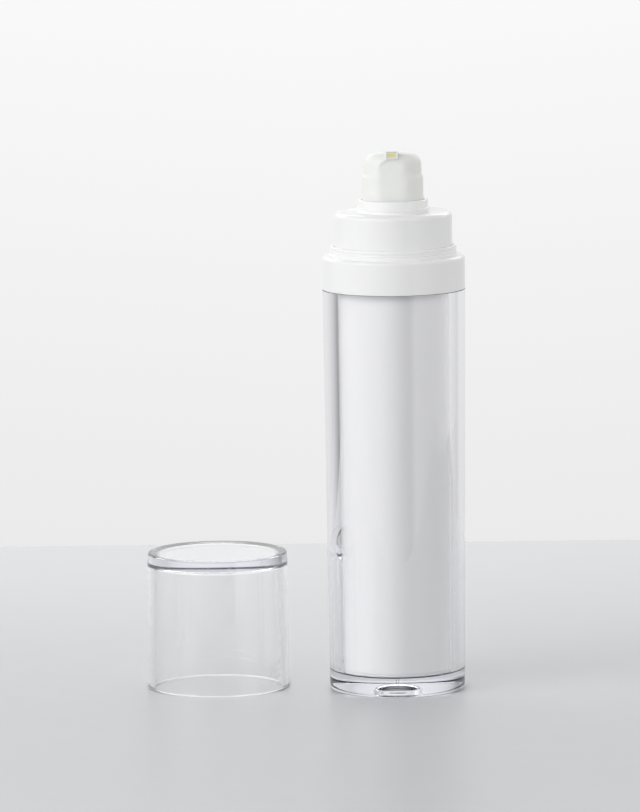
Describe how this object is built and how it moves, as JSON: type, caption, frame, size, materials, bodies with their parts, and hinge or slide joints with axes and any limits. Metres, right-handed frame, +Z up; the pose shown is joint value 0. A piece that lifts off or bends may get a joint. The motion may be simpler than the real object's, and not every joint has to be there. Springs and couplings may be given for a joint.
{
  "type": "airless pump bottle",
  "caption": "Slim airless pump bottle: white inner bottle in a thick clear jacket, press-down head with a front nozzle, and a clear cap standing beside it.",
  "frame": {"origin": "middle of the bottle's foot, on the surface that it stands on", "axes": "+Z up along the bottle's axis, -Y towards the side that the nozzle faces, and the cap stands on the -X side"},
  "size_m": [0.0904, 0.0455, 0.1522],
  "materials": {
    "clear_acrylic": "clear, polished",
    "white_gloss": "gloss",
    "white_satin": "satin",
    "warm_white_satin": "satin, slightly warm",
    "pale_yellow": "satin, slightly see-through",
    "gasket": "matte",
    "steel": "bright"
  },
  "bodies": {
    "bottle": {"outer_bottle": "clear_acrylic", "inner_bottle": "white_gloss", "base_plug": "white_satin", "shoulder_ring": "white_gloss", "pump_closure": "white_gloss", "guide_ring": "white_gloss", "neck_gasket": "gasket", "pump_chamber": "white_satin", "chamber_cap": "white_satin", "ball_cage": "white_satin", "return_spring": "steel"},
    "follower": {"follower_piston": "white_satin"},
    "ball": {"inlet_ball": "steel"},
    "pump_rod": {"pump_stem": "white_satin", "stem_valve": "white_satin"},
    "seal": {"stem_piston": "white_satin"},
    "pump_head": {"actuator": "warm_white_satin", "outlet_insert": "pale_yellow"},
    "loose_cap": {"cap": "clear_acrylic"}
  },
  "joints": [
    {"name": "pump_stroke", "type": "slide", "parent": "bottle", "child": "pump_rod", "axis": [0, 0, -1], "range_m": [0, 0.005], "stiffness_N_per_m": 2500, "deforming": ["return_spring"]},
    {"name": "nozzle_swivel", "type": "hinge", "parent": "pump_rod", "child": "pump_head", "pos_m": [0, 0, 0.14], "axis": [0, 0, 1], "continuous": true},
    {"name": "piston_lag", "type": "slide", "parent": "pump_rod", "child": "seal", "axis": [0, 0, 1], "range_m": [0, 0.0008]},
    {"name": "inlet_ball_lift", "type": "slide", "parent": "bottle", "child": "ball", "axis": [0, 0, 1], "range_m": [0, 0.0009]},
    {"name": "follower_rise", "type": "slide", "parent": "bottle", "child": "follower", "axis": [0, 0, 1], "range_m": [0, 0.0895]},
    {"name": "cap_lift", "type": "slide", "parent": "bottle", "child": "loose_cap", "axis": [0, 0, 1], "range_m": [0, 0.155]}
  ]
}
